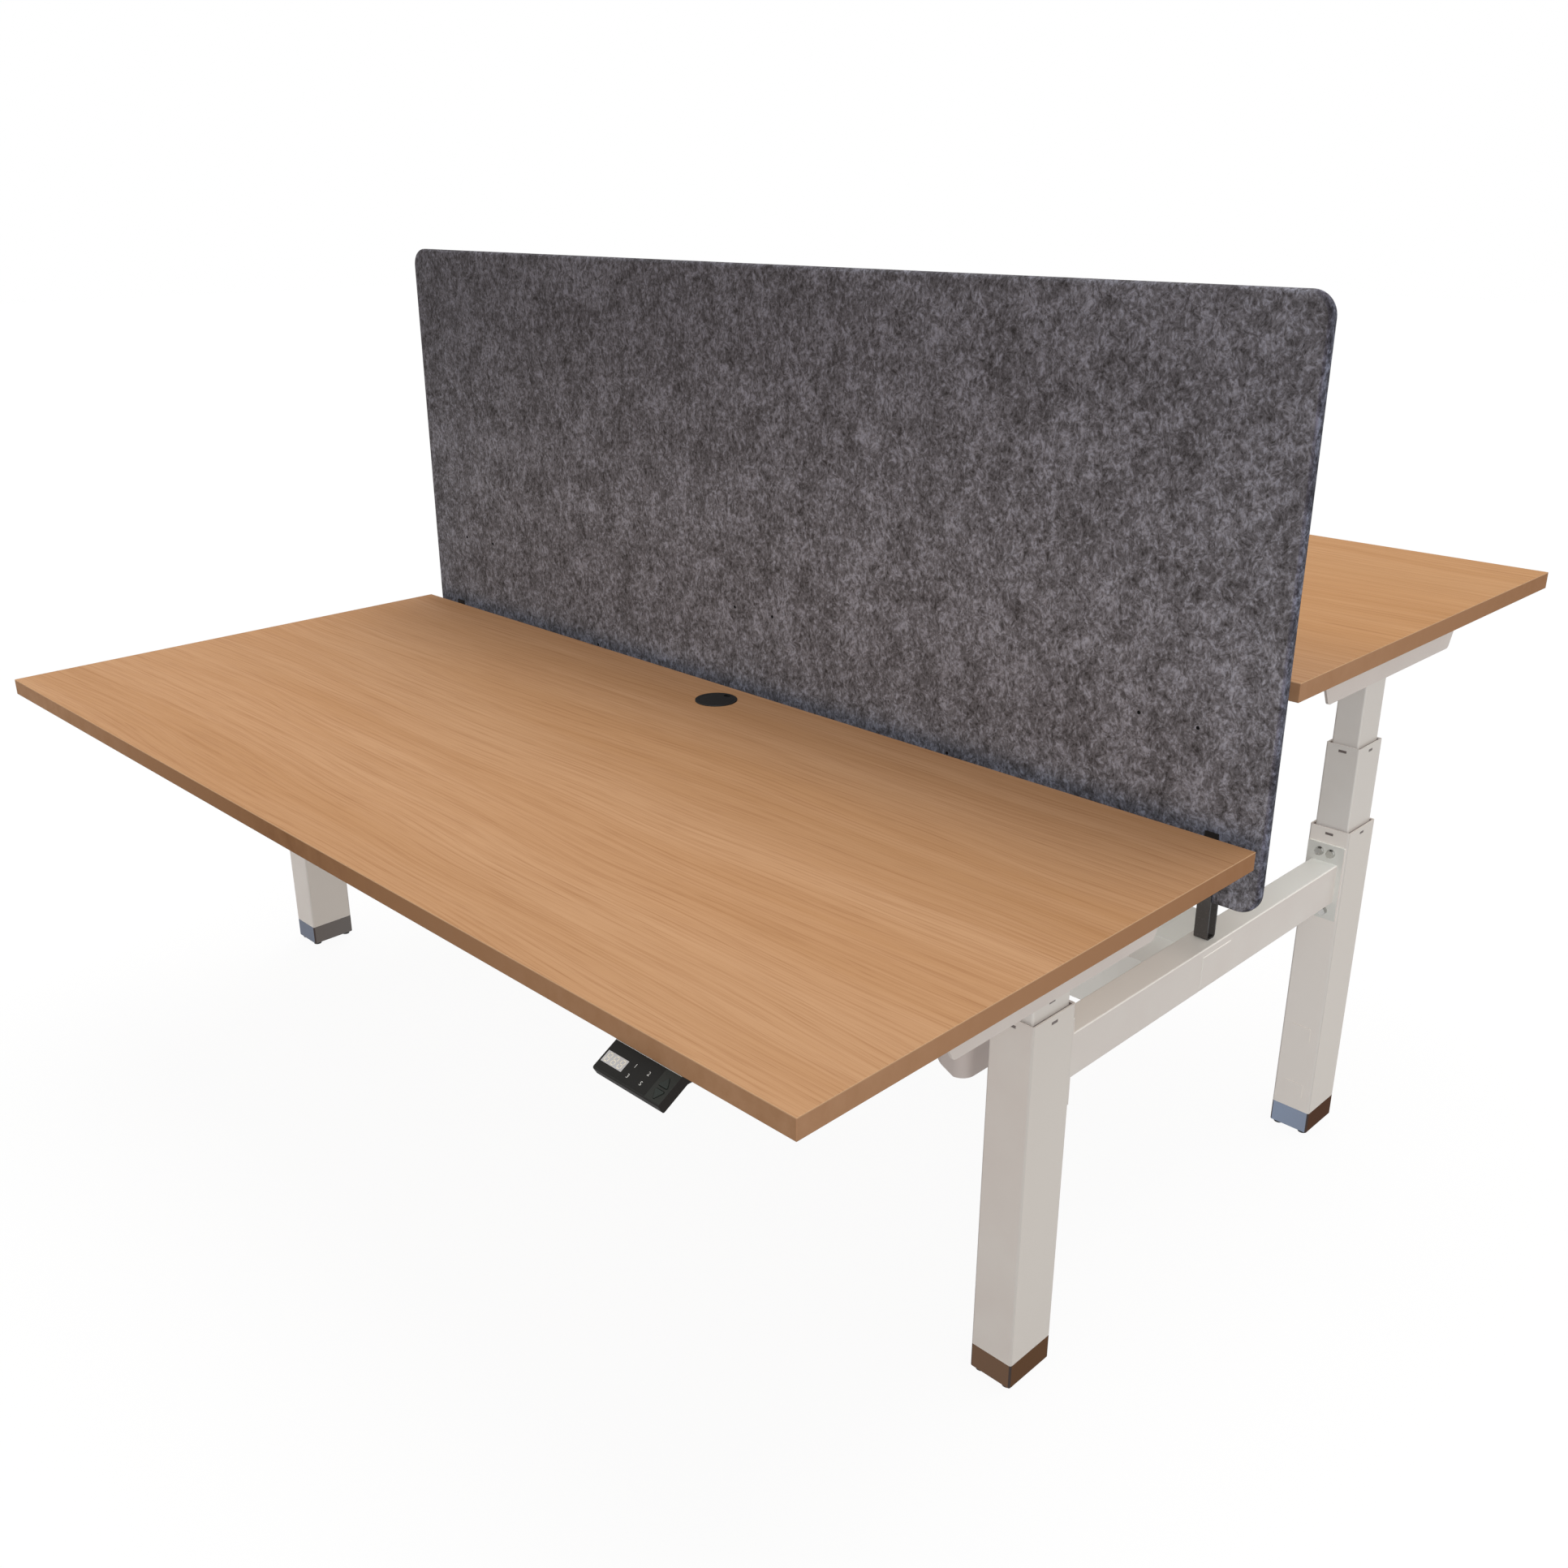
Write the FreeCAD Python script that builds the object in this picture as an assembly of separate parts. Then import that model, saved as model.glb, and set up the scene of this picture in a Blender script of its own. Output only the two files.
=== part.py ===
import FreeCAD, Part
import math
import os

# Back-to-back sit-stand desk for two people, with a felt screen between the two tops.
# Millimetres. X runs along the desktops, Y from the front desk to the rear desk, Z up.
# The origin is on the floor, in the middle of the footprint.

Vector = FreeCAD.Vector

# Modelling aids
cut_margin = 1.0             # how far a cutter reaches past the face it opens
match_tolerance = 0.01       # for picking out edges by their place
parallel_tolerance = 1e-6
end_room = 1.0               # hole beyond the end of a screw or spindle

# Desktops
desk_length = 1800.0
desk_depth = 800.0
desk_thickness = 25.0
desk_low_height = 607.5      # top surface at the lowest setting, as the front desk stands
rear_raise = 200.5           # how far the rear desk stands above its lowest setting
desk_gap = 62.0              # between the two tops, for the screen
desk_edge_round = 0.8
lift_travel = 650.0

# Felt screen
screen_height = 750.0
screen_thickness = 16.0
screen_lift = 52.5           # above the side beams
screen_corner_radius = 30.0
screen_edge_round = 6.0
screen_hole_diameter = 5.0
screen_hole_spacing = 85.0
screen_hole_rise = 227.5     # above the screen's lower edge
screen_hole_from_end = 150.0
screen_low_hole_rise = 92.5
screen_low_hole_column = 400.0

# Telescopic columns, three stages
column_from_end = 72.0       # desktop's end to the column's middle
column_from_gap = 346.0      # desktop's inner edge to the column's middle
column_width = 60.0
column_depth = 80.0
column_wall = 2.0
column_corner_radius = 3.0
stage_step = 5.0             # how far each stage stands in from the stage outside it
column_drop = 77.0           # desktop's underside to the outer column's rim when lowered
stage_reveal = 24.5          # middle stage above the outer one when lowered
stage_bottom_lift = 50.0     # lower end of the middle stage above the foot floor
stage_bottom_stagger = 5.0
slot_width = 12.0
slot_height = 4.0
slot_below_top = 8.7         # from the rim to the middle of the slot
glide_height = 24.0
glide_below_rim = 1.5
glide_clearance = 0.3
glide_tab_clearance = 0.2
glide_tab_depth = 1.7
glide_bottom_lift = 2.0
plug_width = 30.0
plug_height = 25.0
plug_rise = 0.8
plug_radius = 3.0
plug_heights = (71.0, 169.0)

# Feet
foot_height = 38.5
foot_floor = 6.0
foot_wall = 3.0
foot_edge_round = 1.5
pad_height = 4.0
pad_diameter = 14.0
pad_inset = 10.0

# Telescopic spindles
spindle_diameter = 16.0
hollow_diameter = 25.8
hollow_bore = 18.0
nut_tube_diameter = 33.0
nut_tube_bore = 29.0
nut_height = 25.0
thread_clearance = 0.1       # radial, between a spindle and its nut
spindle_end_lift = 10.0      # each spindle's lower end above the piece below it
nut_margin = 7.0             # thread left below a nut at full height
spindle_in_gearbox = 22.0

# Side beams
beam_width = 40.0
beam_height = 60.0
beam_wall = 2.0
beam_corner_radius = 2.0
beam_drop = 50.5             # outer column's rim to the top of the beam
beam_plate_width = 55.0
beam_plate_height = 115.0
beam_plate_thickness = 4.0
beam_plate_round = 1.0
bolt_spacing = 17.0
bolt_edge = 12.5             # bolt centre below the plate's upper edge and above its lower one
panel_length = 70.0
panel_height = 44.0
panel_rise = 1.2
panel_below_top = 10.0
panel_chamfer = 0.8

# Bolts of the frame
bolt_diameter = 6.0
bolt_hole_clearance = 0.25
bolt_flange_diameter = 13.0
bolt_flange_height = 1.2
bolt_head_across = 10.0
bolt_head_height = 5.0

# Cable tray between the side beams
tray_width = 230.0
tray_depth = 88.5
tray_rear_drop = 25.0
tray_sheet = 1.5
tray_flange_width = 120.0
tray_flange_height = 72.0
tray_slot_length = 60.0
tray_slot_width = 10.0
tray_slot_pitch = 200.0
tray_slot_count = 7
tray_bolt_spacing = 80.0
tray_bolt_reach = 6.0

# Screen brackets
bracket_width = 19.0
bracket_thickness = 2.5
bracket_height = 150.0
bracket_bend = 5.0
bracket_bolt_rises = (77.0, 113.0)
button_head_diameter = 11.0
button_head_height = 3.0
nut_across = 10.0
nut_thickness = 5.0
bolt_end = 1.0               # bolt beyond its nut
bracket_screw_reach = 8.0

# Frame under each desktop
rail_overhang = 7.0          # outer face of the side rail beyond the outer column
rail_height = 49.0
rail_sheet = 3.5
rail_flange = 74.0
rail_top_length = 425.0
rail_bottom_length = 374.0
rail_shift = 3.0             # rail's middle beyond the column's, towards the user
rail_corner_radius = 8.0
gearbox_lift = 10.0          # underside of the gearbox above the lowered middle stage
gearbox_depth = 80.0
gearbox_overlap = 24.0       # beyond the column's middle
gearbox_round = 4.0
motor_inner = 111.0          # column's middle to the inner wall of the motor housing
motor_width = 50.0
motor_depth = 80.0
motor_drop = 143.0
motor_flat = 16.0
motor_slope = 25.0
motor_round = 18.0
crossbar_size = 30.0
crossbar_wall = 2.0
crossbar_offset = 24.0       # from the column's middle to the middle of each bar
crossbar_drop = 4.0
shaft_across = 10.0
shaft_in_gearbox = 25.0
shaft_clearance = 0.3
desk_screw_diameter = 4.0
desk_screw_reach = 16.0
desk_screw_head = 8.0
desk_screw_head_height = 2.5
desk_screw_inset = 12.0
desk_screw_places = (-185.0, -75.0, 75.0, 185.0)
screw_hole_clearance = 0.1

# Control box under each desktop
box_length = 240.0
box_depth = 90.0
box_height = 38.0
box_round = 4.0
box_from_gap = 170.0         # desktop's inner edge to the middle of the box
inlet_width = 28.0
inlet_height = 20.0
inlet_depth = 16.0
inlet_place = -90.0
socket_width = 13.0
socket_height = 11.0
socket_depth = 12.0
socket_places = (-40.0, 0.0, 40.0, 80.0)

# Handset under each front edge
handset_from_end = 198.0     # desktop's end to the handset's middle
handset_width = 97.0
handset_tilt = 30.0
handset_face = 36.0
handset_thickness = 13.0
handset_back = 38.0
handset_round = 2.5
key_middle = 38.0            # from the handset's middle
key_width = 13.0
key_length = 10.8
key_up_base = 17.9           # down the face
key_down_base = 21.6
key_rise = 0.6
key_height = 2.6
key_pocket_depth = 3.0
key_clearance = 0.6
key_corner_radius = 1.0

# Cable grommet in each desktop
grommet_from_edge = 60.0
grommet_hole = 60.0
grommet_fit = 0.2
grommet_flange = 67.0
grommet_flange_height = 1.5
grommet_sleeve_length = 22.0
grommet_wall = 2.0
grommet_ledge = 3.0
grommet_cap_thickness = 2.7
grommet_cap_clearance = 0.3
grommet_notch = 12.0
grommet_notch_depth = 9.0

# Places that follow from the sizes above
inner_edge = desk_gap / 2
front_edge = -(inner_edge + desk_depth)
underside = desk_low_height - desk_thickness
column_x = desk_length / 2 - column_from_end
column_y = inner_edge + column_from_gap
outer_top = underside - column_drop
beam_top = outer_top - beam_drop
screen_bottom = beam_top + screen_lift
screen_hole_height = screen_bottom + screen_hole_rise
screen_low_hole_height = screen_bottom + screen_low_hole_rise
screen_hole_column = desk_length / 2 - screen_hole_from_end
bracket_top = beam_top + bracket_height
bracket_bolt_heights = [beam_top + rise for rise in bracket_bolt_rises]
handset_middle = desk_length / 2 - handset_from_end
mid_width = column_width - 2 * stage_step
mid_depth = column_depth - 2 * stage_step
inner_width = mid_width - 2 * stage_step
inner_depth = mid_depth - 2 * stage_step
foot_floor_top = pad_height + foot_floor
mid_bottom = foot_floor_top + stage_bottom_lift
mid_top = outer_top + stage_reveal
inner_bottom = mid_bottom + stage_bottom_stagger
gearbox_bottom = mid_top + gearbox_lift
rail_face = column_x + column_width / 2 + rail_overhang
rail_bottom = underside - rail_height
rail_y = column_y + rail_shift
flange_bottom = underside - rail_sheet
shaft_height = (gearbox_bottom + flange_bottom) / 2
beam_inner = column_x - beam_width / 2
beam_outer = column_x + beam_width / 2
column_inner_face = column_y - column_depth / 2
plate_face = column_inner_face - beam_plate_thickness
beam_middle = beam_top - beam_height / 2
plate_top = beam_middle + beam_plate_height / 2
plate_bottom = beam_middle - beam_plate_height / 2
bolt_heights = (plate_top - bolt_edge, plate_bottom + bolt_edge)
bolt_hole_diameter = bolt_diameter + 2 * bolt_hole_clearance
bracket_face = screen_thickness / 2 + bracket_thickness
tray_floor = beam_top - tray_depth
tray_flange_face = beam_inner - tray_sheet
tray_bolt_height = tray_floor + tray_sheet + tray_flange_height / 2
stage_travel = lift_travel / 2
hollow_bottom = foot_floor_top + spindle_end_lift
lower_nut_bottom = hollow_bottom + stage_travel + nut_margin
hollow_top = lower_nut_bottom + nut_height + spindle_end_lift
spindle_bottom = hollow_bottom + spindle_end_lift
upper_nut_bottom = hollow_top - nut_height
grommet_y = -(inner_edge + grommet_from_edge)
box_y = -(inner_edge + box_from_gap)

SIDES = {"left": -1, "right": 1}
ROWS = {"front": -1, "rear": 1}
X_AXIS = Vector(1, 0, 0)
Y_AXIS = Vector(0, 1, 0)
Z_AXIS = Vector(0, 0, 1)


# Plain shapes

def box(x0, x1, y0, y1, z0, z1):
    return Part.makeBox(x1 - x0, y1 - y0, z1 - z0, Vector(x0, y0, z0))


def cylinder(diameter, length, base, axis=Z_AXIS):
    return Part.makeCylinder(diameter / 2, length, base, axis)


def rounded_outline(width, depth, radius, z):
    """A rectangle with rounded corners about the Z axis, as a closed wire."""
    a = width / 2
    b = depth / 2
    c = radius * (1 - math.sqrt(0.5))
    corners = [(1, 1), (-1, 1), (-1, -1), (1, -1)]
    edges = []
    for i, (sx, sy) in enumerate(corners):
        along_x = Vector(sx * (a - radius), sy * b, z)
        along_y = Vector(sx * a, sy * (b - radius), z)
        middle = Vector(sx * (a - c), sy * (b - c), z)
        first, last = (along_y, along_x) if sx * sy > 0 else (along_x, along_y)
        if edges:
            edges.append(Part.LineSegment(edges[-1].EndPoint, first))
        edges.append(Part.Arc(first, middle, last))
    edges.append(Part.LineSegment(edges[-1].EndPoint, edges[0].StartPoint))
    return Part.Wire([e.toShape() for e in edges])


def rounded_bar(width, depth, radius, z0, z1):
    face = Part.Face(rounded_outline(width, depth, radius, z0))
    return face.extrude(Vector(0, 0, z1 - z0))


def rounded_tube(width, depth, wall, radius, z0, z1):
    outside = rounded_bar(width, depth, radius, z0, z1)
    inside = rounded_bar(width - 2 * wall, depth - 2 * wall, max(radius - wall, wall / 2), z0, z1)
    return outside.cut(inside)


def prism(points, direction):
    wire = Part.makePolygon(points + points[:1])
    return Part.Face(wire).extrude(direction)


def hexagon(across, height, base, axis):
    radius = across / math.sqrt(3)
    turns = [math.radians(60 * i) for i in range(6)]
    bar = prism([Vector(radius * math.cos(t), radius * math.sin(t), 0) for t in turns], Vector(0, 0, height))
    bar.Placement = FreeCAD.Placement(base, FreeCAD.Rotation(Z_AXIS, axis))
    return bar


def straight_edges(shape, direction):
    """The straight edges of a shape that run along a direction."""
    found = []
    for edge in shape.Edges:
        if isinstance(edge.Curve, Part.Line):
            if abs(abs(edge.Curve.Direction.dot(direction)) - 1) < parallel_tolerance:
                found.append(edge)
    return found


# Copies about the middle planes

def mirrored(shape, side, row):
    """A copy of a front right piece for another column."""
    if side < 0:
        shape = shape.mirror(Vector(0, 0, 0), X_AXIS)
    if row > 0:
        shape = shape.mirror(Vector(0, 0, 0), Y_AXIS)
    return shape


def raised(shape, row, share=1.0):
    """A piece of a desk at the height where it stands."""
    shape = shape.copy()
    if row > 0:
        shape.translate(Vector(0, 0, rear_raise * share))
    return shape


def for_desk(shape, row):
    """A front desk's piece, or the same piece of the rear desk turned to face its user."""
    shape = shape.copy()
    if row > 0:
        shape.rotate(Vector(0, 0, 0), Z_AXIS, 180)
    return raised(shape, row)


def at_column(shape):
    shape = shape.copy()
    shape.translate(Vector(column_x, -column_y, 0))
    return shape


# Columns, feet and spindles, each at the front right

def slot_cutters(width, depth, top):
    middle = top - slot_below_top
    low = middle - slot_height / 2
    high = middle + slot_height / 2
    half = slot_width / 2
    across_x = box(-width, width, -half, half, low, high)
    across_y = box(-half, half, -depth, depth, low, high)
    return [across_x, across_y]


def glide(width, depth, top):
    """The guide ring in the mouth of a stage, with tabs that snap into the four slots."""
    room = stage_step - column_wall
    rim = top - glide_below_rim
    hole_x = width - 2 * (room - glide_clearance)
    hole_y = depth - 2 * (room - glide_clearance)
    corner = column_wall / 2
    ring = rounded_bar(width, depth, corner, rim - glide_height, rim)
    low = top - slot_below_top - slot_height / 2 + glide_tab_clearance
    high = low + slot_height - 2 * glide_tab_clearance
    half = slot_width / 2 - glide_tab_clearance
    reach_x = width / 2 + glide_tab_depth
    reach_y = depth / 2 + glide_tab_depth
    ring = ring.fuse(box(-reach_x, reach_x, -half, half, low, high))
    ring = ring.fuse(box(-half, half, -reach_y, reach_y, low, high))
    hole = rounded_bar(hole_x, hole_y, corner, rim - glide_height - cut_margin, rim + cut_margin)
    return at_column(ring.cut(hole).removeSplitter())


def bolt_places():
    return [(x, z) for x in (-bolt_spacing / 2, bolt_spacing / 2) for z in bolt_heights]


def outer_column():
    tube = rounded_tube(column_width, column_depth, column_wall, column_corner_radius, foot_height, outer_top)
    inner_face = column_depth / 2
    for height in plug_heights:
        plug = rounded_bar(plug_width, plug_height, plug_radius, 0, plug_rise + column_wall / 2)
        plug.rotate(Vector(0, 0, 0), X_AXIS, -90)
        plug.translate(Vector(0, inner_face - column_wall / 2, height))
        tube = tube.fuse(plug)
    for cutter in slot_cutters(column_width, column_depth, outer_top):
        tube = tube.cut(cutter)
    for x, z in bolt_places():
        start = Vector(x, inner_face - column_wall * 1.5, z)
        tube = tube.cut(cylinder(bolt_hole_diameter, 2 * column_wall, start, Y_AXIS))
    return at_column(tube)


def foot_cap():
    cap = rounded_bar(column_width, column_depth, column_corner_radius, pad_height, foot_height)
    rim = [e for e in cap.Edges if e.BoundBox.ZMax < pad_height + match_tolerance]
    cap = cap.makeFillet(foot_edge_round, rim)
    hollow = rounded_bar(column_width - 2 * foot_wall, column_depth - 2 * foot_wall,
                         column_corner_radius, foot_floor_top, foot_height + cut_margin)
    return at_column(cap.cut(hollow))


def foot_pads():
    pads = []
    for sx in (-1, 1):
        for sy in (-1, 1):
            place = Vector(sx * (column_width / 2 - pad_inset), sy * (column_depth / 2 - pad_inset), 0)
            pads.append(at_column(cylinder(pad_diameter, pad_height, place)))
    return pads


def mid_stage():
    tube = rounded_tube(mid_width, mid_depth, column_wall, column_corner_radius, mid_bottom, mid_top)
    for cutter in slot_cutters(mid_width, mid_depth, mid_top):
        tube = tube.cut(cutter)
    return at_column(tube)


def mid_glides():
    """The ring in the middle stage's mouth and the runner round its lower end."""
    cavity_x = column_width - 2 * column_wall - 2 * glide_clearance
    cavity_y = column_depth - 2 * column_wall - 2 * glide_clearance
    low = mid_bottom + glide_bottom_lift
    runner = rounded_bar(cavity_x, cavity_y, column_wall / 2, low, low + glide_height)
    core = rounded_bar(mid_width, mid_depth, column_corner_radius,
                       low - cut_margin, low + glide_height + cut_margin)
    runner = runner.cut(core)
    top_ring = glide(mid_width - 2 * column_wall, mid_depth - 2 * column_wall, mid_top)
    return [top_ring, at_column(runner)]


def inner_stage():
    return at_column(rounded_tube(inner_width, inner_depth, column_wall, column_corner_radius,
                                  inner_bottom, gearbox_bottom))


def nut_tube():
    """The tube that stands in the foot, with the nut of the hollow spindle at its top."""
    top = lower_nut_bottom + nut_height
    tube = cylinder(nut_tube_diameter, top - foot_floor_top, Vector(0, 0, foot_floor_top))
    tube = tube.cut(cylinder(nut_tube_bore, lower_nut_bottom - foot_floor_top, Vector(0, 0, foot_floor_top)))
    thread = hollow_diameter + 2 * thread_clearance
    return at_column(tube.cut(cylinder(thread, nut_height, Vector(0, 0, lower_nut_bottom))))


def hollow_spindle():
    bar = cylinder(hollow_diameter, hollow_top - hollow_bottom, Vector(0, 0, hollow_bottom))
    bar = bar.cut(cylinder(hollow_bore, upper_nut_bottom - hollow_bottom, Vector(0, 0, hollow_bottom)))
    thread = spindle_diameter + 2 * thread_clearance
    return at_column(bar.cut(cylinder(thread, nut_height, Vector(0, 0, upper_nut_bottom))))


def drive_spindle():
    top = gearbox_bottom + spindle_in_gearbox
    return at_column(cylinder(spindle_diameter, top - spindle_bottom, Vector(0, 0, spindle_bottom)))


# Side beams and their bolts, each at the right

def frame_bolt(head, axis, reach):
    """A hexagon bolt with a flange: axis points from the seat into the frame."""
    out = axis * -1
    flange = cylinder(bolt_flange_diameter, bolt_flange_height, head, out)
    top = hexagon(bolt_head_across, bolt_head_height, head + out * bolt_flange_height, out)
    shank = cylinder(bolt_diameter, reach, head, axis)
    return flange.fuse([top, shank]).removeSplitter()


def side_beam():
    tube = rounded_tube(beam_width, beam_height, beam_wall, beam_corner_radius, -plate_face, plate_face)
    tube.rotate(Vector(0, 0, 0), X_AXIS, 90)
    tube.translate(Vector(column_x, 0, beam_middle))
    half = beam_plate_width / 2
    for sign in (-1, 1):
        near = min(sign * plate_face, sign * column_inner_face)
        far = near + beam_plate_thickness
        plate = box(column_x - half, column_x + half, near, far, plate_bottom, plate_top)
        plate = plate.makeFillet(beam_plate_round, straight_edges(plate, Y_AXIS))
        for x, z in bolt_places():
            hole = cylinder(bolt_hole_diameter, beam_plate_thickness, Vector(column_x + x, near, z), Y_AXIS)
            plate = plate.cut(hole)
        tube = tube.fuse(plate)
    screw = Vector(column_x, 0, beam_top - 2 * beam_wall)
    tube = tube.cut(cylinder(bolt_hole_diameter, 3 * beam_wall, screw))
    for y in (-tray_bolt_spacing / 2, tray_bolt_spacing / 2):
        seat = Vector(beam_inner - beam_wall, y, tray_bolt_height)
        tube = tube.cut(cylinder(bolt_hole_diameter, 3 * beam_wall, seat, X_AXIS))
    return tube.fuse(beam_panel()).removeSplitter()


def beam_bolts():
    bolts = []
    reach = beam_plate_thickness + column_wall
    for sign in (-1, 1):
        for x, z in bolt_places():
            bolts.append(frame_bolt(Vector(column_x + x, sign * plate_face, z), Vector(0, sign, 0), reach))
    for y in (-tray_bolt_spacing / 2, tray_bolt_spacing / 2):
        bolts.append(frame_bolt(Vector(tray_flange_face, y, tray_bolt_height), X_AXIS, tray_bolt_reach))
    return bolts


def beam_panel():
    """The raised plain panel on a beam's outer face."""
    top = beam_top - panel_below_top
    half = panel_length / 2
    panel = box(beam_outer - beam_wall / 2, beam_outer + panel_rise, -half, half, top - panel_height, top)
    rim = [e for e in panel.Edges if e.BoundBox.XMin > beam_outer + panel_rise - match_tolerance]
    return panel.makeChamfer(panel_chamfer, rim)


def cable_tray():
    half = tray_width / 2
    end = tray_flange_face
    floor = box(-end, end, -half, half, tray_floor, tray_floor + tray_sheet)
    front = box(-end, end, -half, -half + tray_sheet, tray_floor, beam_top)
    rear = box(-end, end, half - tray_sheet, half, tray_floor, beam_top - tray_rear_drop)
    tray = floor.fuse([front, rear])
    for i in range(tray_slot_count):
        x = (i - (tray_slot_count - 1) / 2) * tray_slot_pitch
        slot = rounded_bar(tray_slot_length, tray_slot_width, tray_slot_width / 2 - match_tolerance,
                           tray_floor - cut_margin, tray_floor + tray_sheet + cut_margin)
        slot.translate(Vector(x, 0, 0))
        tray = tray.cut(slot)
    wide = tray_flange_width / 2
    flange_top = tray_floor + tray_sheet + tray_flange_height
    for sign in (-1, 1):
        near = min(sign * end, sign * beam_inner)
        flange = box(near, near + tray_sheet, -wide, wide, tray_floor, flange_top)
        for y in (-tray_bolt_spacing / 2, tray_bolt_spacing / 2):
            start = Vector(near, y, tray_bolt_height)
            flange = flange.cut(cylinder(bolt_hole_diameter, tray_sheet, start, X_AXIS))
        tray = tray.fuse(flange)
    return tray.removeSplitter()


# Felt screen and its brackets

def screen_panel():
    panel = rounded_bar(desk_length, screen_height, screen_corner_radius, 0, screen_thickness)
    rims = [e for e in panel.Edges if e.BoundBox.ZLength < match_tolerance]
    panel = panel.makeFillet(screen_edge_round, rims)
    panel.rotate(Vector(0, 0, 0), X_AXIS, 90)
    panel.translate(Vector(0, screen_thickness / 2, screen_bottom + screen_height / 2))
    places = [(side * screen_low_hole_column, screen_low_hole_height) for side in (-1, 1)]
    for column in (-screen_hole_column, 0, screen_hole_column):
        for half in (-screen_hole_spacing / 2, screen_hole_spacing / 2):
            places.append((column + half, screen_hole_height))
    start = -screen_thickness
    for x, z in places:
        panel = panel.cut(cylinder(screen_hole_diameter, 2 * screen_thickness, Vector(x, start, z), Y_AXIS))
    for side in (-1, 1):
        for z in bracket_bolt_heights:
            hole = Vector(side * column_x, start, z)
            panel = panel.cut(cylinder(bolt_hole_diameter, 2 * screen_thickness, hole, Y_AXIS))
    return panel


def screen_bracket():
    """A flat bar bent into a U: it stands on the side beam and holds the screen between its legs."""
    half = bracket_width / 2
    bar = box(-half, half, -bracket_face, bracket_face, beam_top, bracket_top)
    low_edges = [e for e in straight_edges(bar, X_AXIS) if e.BoundBox.ZMax < beam_top + match_tolerance]
    bar = bar.makeFillet(bracket_bend, low_edges)
    inside = screen_thickness / 2
    hollow = box(-half, half, -inside, inside, beam_top + bracket_thickness, bracket_top)
    seat = beam_top + bracket_thickness
    low_edges = [e for e in straight_edges(hollow, X_AXIS) if e.BoundBox.ZMax < seat + match_tolerance]
    hollow = hollow.makeFillet(bracket_bend - bracket_thickness, low_edges)
    bar = bar.cut(hollow)
    start = Vector(0, 0, beam_top - bracket_thickness / 2)
    bar = bar.cut(cylinder(bolt_hole_diameter, 2 * bracket_thickness, start))
    for z in bracket_bolt_heights:
        start = Vector(0, -2 * bracket_face, z)
        bar = bar.cut(cylinder(bolt_hole_diameter, 4 * bracket_face, start, Y_AXIS))
    bar.translate(Vector(column_x, 0, 0))
    return bar


def button_head(base, out):
    """A low round head on a seat, with its rim rounded over."""
    head = cylinder(button_head_diameter, button_head_height, base, out)
    far = base + out * button_head_height
    rim = [e for e in head.Edges if e.isClosed() and (e.CenterOfMass - far).Length < match_tolerance]
    return head.makeFillet(button_head_height / 2, rim)


def screen_bolts():
    """Bolts through the screen and the screw that holds a bracket to its beam."""
    pieces = []
    front = -bracket_face
    for z in bracket_bolt_heights:
        base = Vector(column_x, front, z)
        head = button_head(base, Y_AXIS * -1)
        shank = cylinder(bolt_diameter, 2 * bracket_face + nut_thickness + bolt_end, base, Y_AXIS)
        nut = hexagon(nut_across, nut_thickness, Vector(column_x, bracket_face, z), Y_AXIS)
        pieces.append(head.fuse([shank, nut]).removeSplitter())
    seat = Vector(column_x, 0, beam_top + bracket_thickness)
    reach = bracket_thickness + beam_wall + bracket_screw_reach
    shank = cylinder(bolt_diameter, reach, seat, Z_AXIS * -1)
    pieces.append(button_head(seat, Z_AXIS).fuse(shank).removeSplitter())
    return pieces


# Frame under a desktop, each at the front right

def side_rail():
    """The angle that carries one end of a desktop, with sloped ends and rounded lower corners."""
    long_half = rail_top_length / 2
    short_half = rail_bottom_length / 2
    x = rail_face - rail_sheet
    outline = [(-long_half, underside), (long_half, underside)]
    outline += [(short_half, rail_bottom), (-short_half, rail_bottom)]
    web = prism([Vector(x, y, z) for y, z in outline], Vector(rail_sheet, 0, 0))
    low = [e for e in straight_edges(web, X_AXIS) if e.BoundBox.ZMax < rail_bottom + match_tolerance]
    web = web.makeFillet(rail_corner_radius, low)
    flange = box(rail_face - rail_flange, rail_face, -long_half, long_half, flange_bottom, underside)
    rail = web.fuse(flange)
    for px, py in desk_screw_spots():
        hole = Vector(px, py, flange_bottom - rail_sheet)
        rail = rail.cut(cylinder(desk_screw_diameter + 2 * screw_hole_clearance, 3 * rail_sheet, hole))
    rail = rail.removeSplitter()
    rail.translate(Vector(0, -rail_y, 0))
    return rail


def desk_screw_spots():
    x = rail_face - rail_flange + desk_screw_inset
    return [(x, y) for y in desk_screw_places]


def desk_screws():
    screws = []
    for x, y in desk_screw_spots():
        seat = Vector(x, y - rail_y, flange_bottom)
        head = cylinder(desk_screw_head, desk_screw_head_height, seat, Z_AXIS * -1)
        screws.append(head.fuse(cylinder(desk_screw_diameter, desk_screw_reach, seat)).removeSplitter())
    return screws


def gearbox():
    left = -motor_inner
    half = gearbox_depth / 2
    block = box(left, gearbox_overlap, -half, half, gearbox_bottom, flange_bottom)
    block = block.makeFillet(gearbox_round, straight_edges(block, Z_AXIS))
    bore = spindle_diameter + 2 * thread_clearance
    block = block.cut(cylinder(bore, spindle_in_gearbox + end_room, Vector(0, 0, gearbox_bottom)))
    shaft_bore = shaft_across * 2 / math.sqrt(3) + 2 * shaft_clearance
    socket = cylinder(shaft_bore, shaft_in_gearbox, Vector(left, 0, shaft_height), X_AXIS)
    return at_column(block.cut(socket))


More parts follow.
